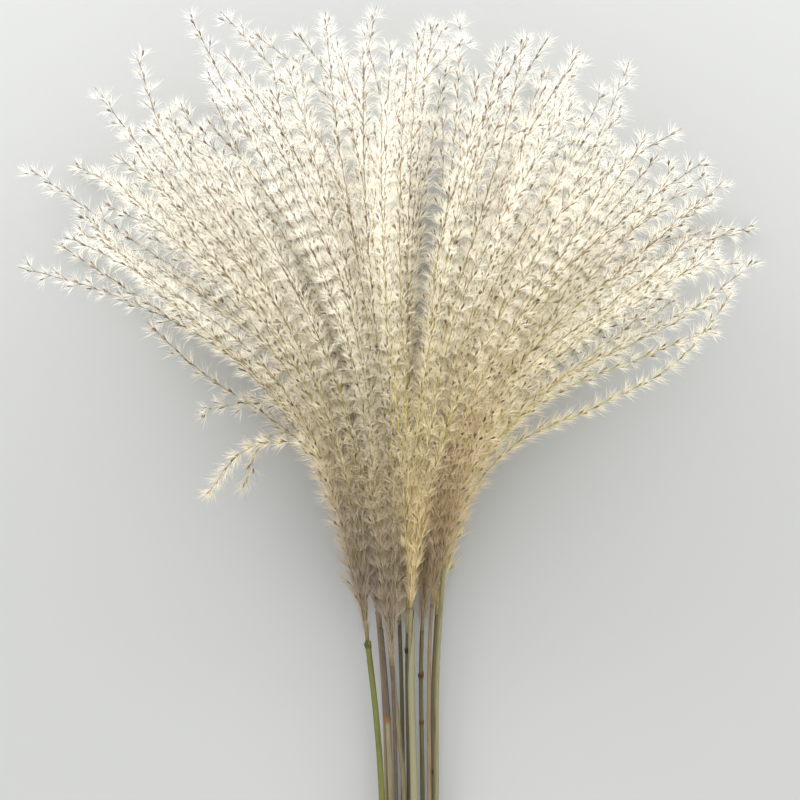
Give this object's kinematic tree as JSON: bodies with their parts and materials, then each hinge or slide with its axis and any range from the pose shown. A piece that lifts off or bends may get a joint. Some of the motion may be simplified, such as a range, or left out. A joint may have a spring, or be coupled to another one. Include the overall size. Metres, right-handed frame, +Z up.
{
  "type": "bunch of dried reeds",
  "caption": "Cut bunch of dried reed plumes lying down: slender jointed straws that fan out into silky, drooping, cream and tan flower plumes.",
  "frame": {"origin": "on the surface the bunch lies on, under the middle of the whole bunch", "axes": "+Y from the cut ends towards the tips of the plumes, +Z up from the surface, +X to the right for a viewer who looks down with the plumes away from them"},
  "size_m": [0.4159, 0.6019, 0.1271],
  "materials": {
    "green_straw": "satin",
    "mauve_straw": "satin",
    "cream_straw": "satin",
    "olive_straw": "satin",
    "tan_straw": "satin",
    "sheath_straw": "satin",
    "plume_silk": "matte"
  },
  "bodies": {
    "root": {"reed_01_stem": "green_straw", "reed_01_plume": "plume_silk", "reed_02_stem": "mauve_straw", "reed_02_plume": "plume_silk", "reed_03_stem": "mauve_straw", "reed_03_plume": "plume_silk", "reed_04_stem": "cream_straw", "reed_04_plume": "plume_silk", "reed_05_stem": "green_straw", "reed_05_plume": "plume_silk", "reed_06_stem": "cream_straw", "reed_06_plume": "plume_silk", "reed_06_sheath": "sheath_straw", "reed_07_stem": "olive_straw", "reed_07_plume": "plume_silk", "reed_08_stem": "tan_straw", "reed_08_plume": "plume_silk", "reed_09_stem": "olive_straw", "reed_09_plume": "plume_silk", "reed_10_stem": "cream_straw", "reed_10_plume": "plume_silk", "reed_11_stem": "olive_straw", "reed_11_plume": "plume_silk", "reed_12_stem": "tan_straw", "reed_12_plume": "plume_silk"}
  },
  "joints": []
}
